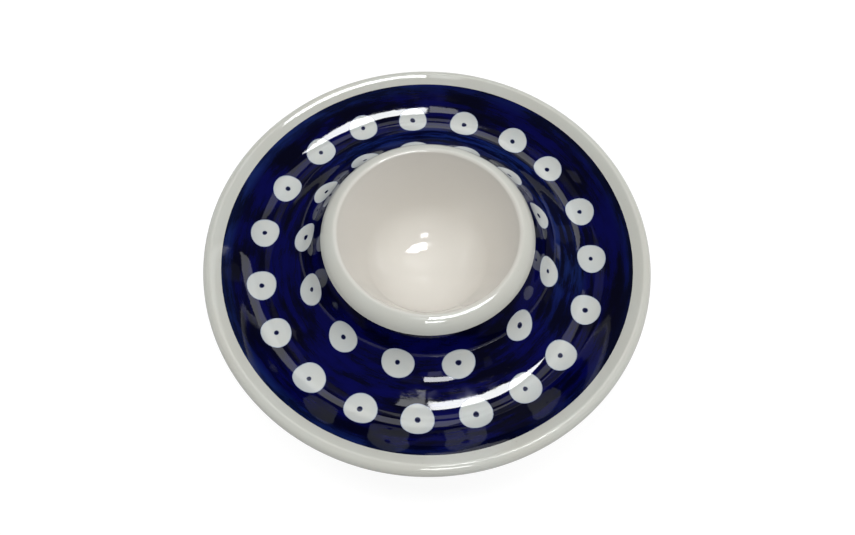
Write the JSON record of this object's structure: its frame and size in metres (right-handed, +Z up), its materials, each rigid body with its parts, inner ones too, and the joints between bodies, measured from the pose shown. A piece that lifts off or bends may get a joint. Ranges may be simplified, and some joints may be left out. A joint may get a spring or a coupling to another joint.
{
  "type": "egg cup",
  "caption": "Stoneware egg cup with its own round saucer, a rolled white lip, and two rings of white dots with blue eyes on a cobalt ground.",
  "frame": {"origin": "middle of the standing face of the foot, on the table and on the turned axis", "axes": "+Z up along the turned axis; the picture is taken from the -Y side, with +X to its right"},
  "size_m": [0.125, 0.125, 0.0344],
  "materials": {
    "white_glaze": "clear gloss glaze over off-white stoneware",
    "foot_glaze": "clear gloss glaze, wiped off the standing face to bare clay",
    "slip": "smoothed slip under clear glaze",
    "cobalt_ground": "brushed cobalt under clear gloss glaze",
    "dot_white": "white under clear gloss glaze",
    "eye_blue": "stamped cobalt spot under clear gloss glaze"
  },
  "bodies": {
    "root": {"saucer": "white_glaze", "cup": "white_glaze", "foot_ring": "foot_glaze", "luting_ring": "slip", "blue_ground": "cobalt_ground", "outer_dots": "dot_white", "outer_eyes": "eye_blue", "inner_dots": "dot_white", "inner_eyes": "eye_blue"}
  },
  "joints": []
}
